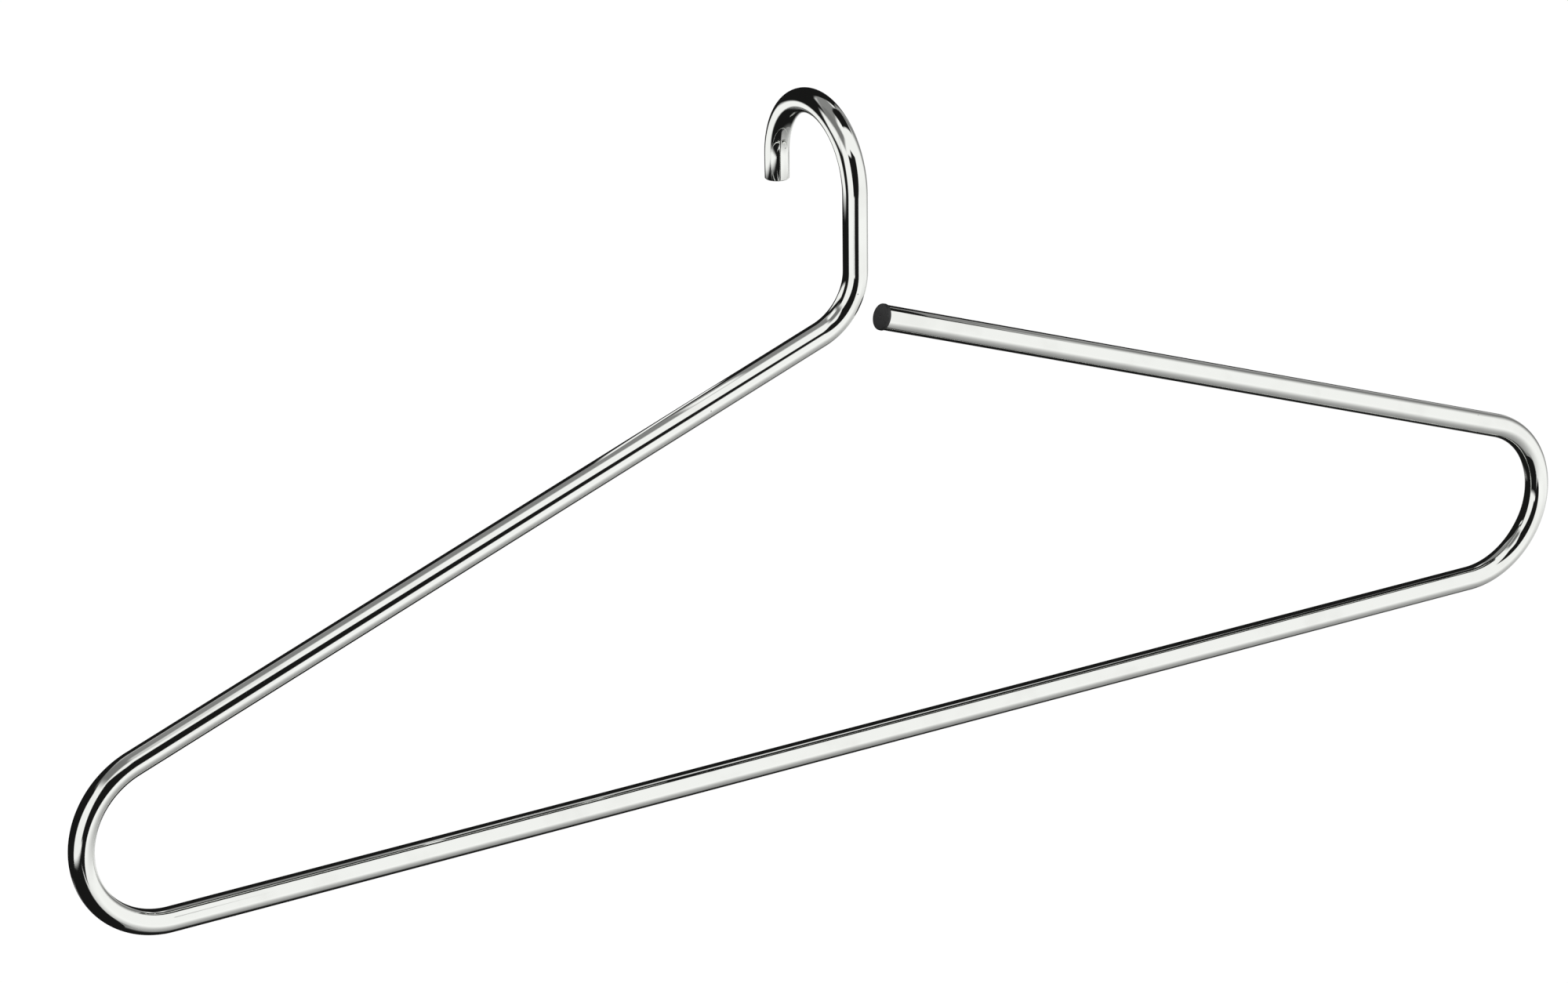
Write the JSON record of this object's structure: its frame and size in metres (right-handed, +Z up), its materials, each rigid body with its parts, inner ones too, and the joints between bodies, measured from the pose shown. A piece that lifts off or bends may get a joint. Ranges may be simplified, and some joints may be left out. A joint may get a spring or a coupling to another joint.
{
  "type": "trouser hanger",
  "caption": "Open-ended trouser hanger bent from one chromed tube, with a hook turned square to its frame and a black end plug.",
  "frame": {"origin": "inside of the hook's crown, where the rail bears, on the hanger's middle plane", "axes": "+X along the trouser bar towards the side of the open arm, +Y to the back, where the hook's tip is, +Z up"},
  "size_m": [0.411, 0.0412, 0.1612],
  "materials": {
    "chromed_tube": "bright chrome plate over polished steel tube",
    "black_plug": "fine-grained moulded black plastic"
  },
  "bodies": {
    "root": {"hanger_tube": "chromed_tube", "arm_end_plug": "black_plug"}
  },
  "joints": []
}
